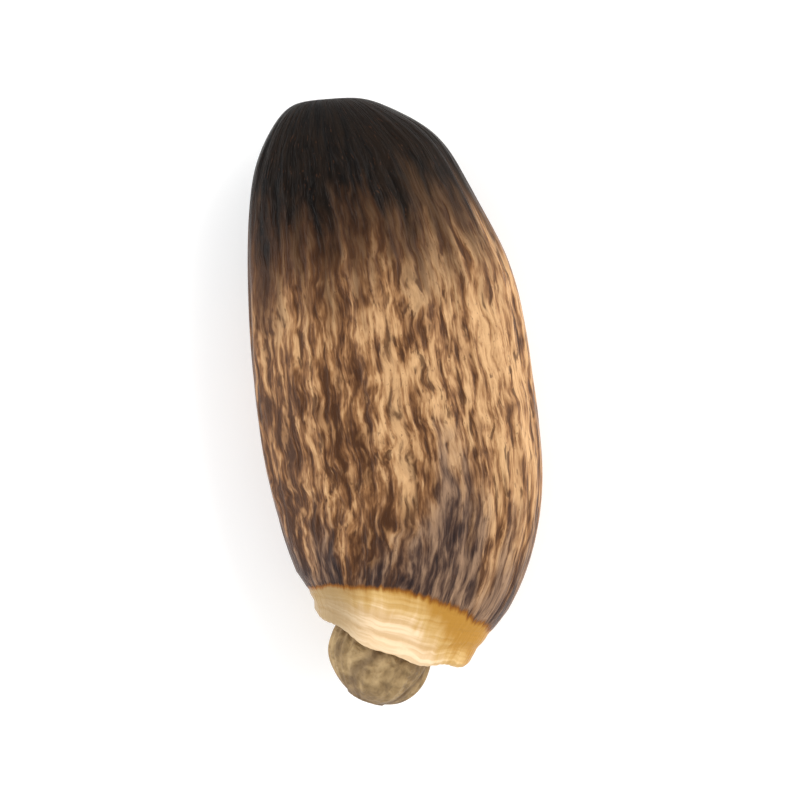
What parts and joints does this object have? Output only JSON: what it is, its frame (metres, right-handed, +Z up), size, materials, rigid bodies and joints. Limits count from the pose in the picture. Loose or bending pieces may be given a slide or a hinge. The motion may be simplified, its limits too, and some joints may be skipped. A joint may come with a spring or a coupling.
{
  "type": "milk thistle seed",
  "caption": "Dry thistle fruit: a flattened oblong seed body with a slanting pale collar at one end and the round stump of the style standing in it.",
  "frame": {"origin": "on the ground under the middle of the seed: the middle of the bounding box in X and Y, and its bottom in Z", "axes": "+X from the rounded base to the collared end, +Y towards the more arched edge of the seed, +Z up, out of the upper flank"},
  "size_m": [0.007, 0.0032, 0.0018],
  "materials": {
    "seed_coat": "satin"
  },
  "bodies": {
    "root": {"milk_thistle_seed": "seed_coat"}
  },
  "joints": []
}
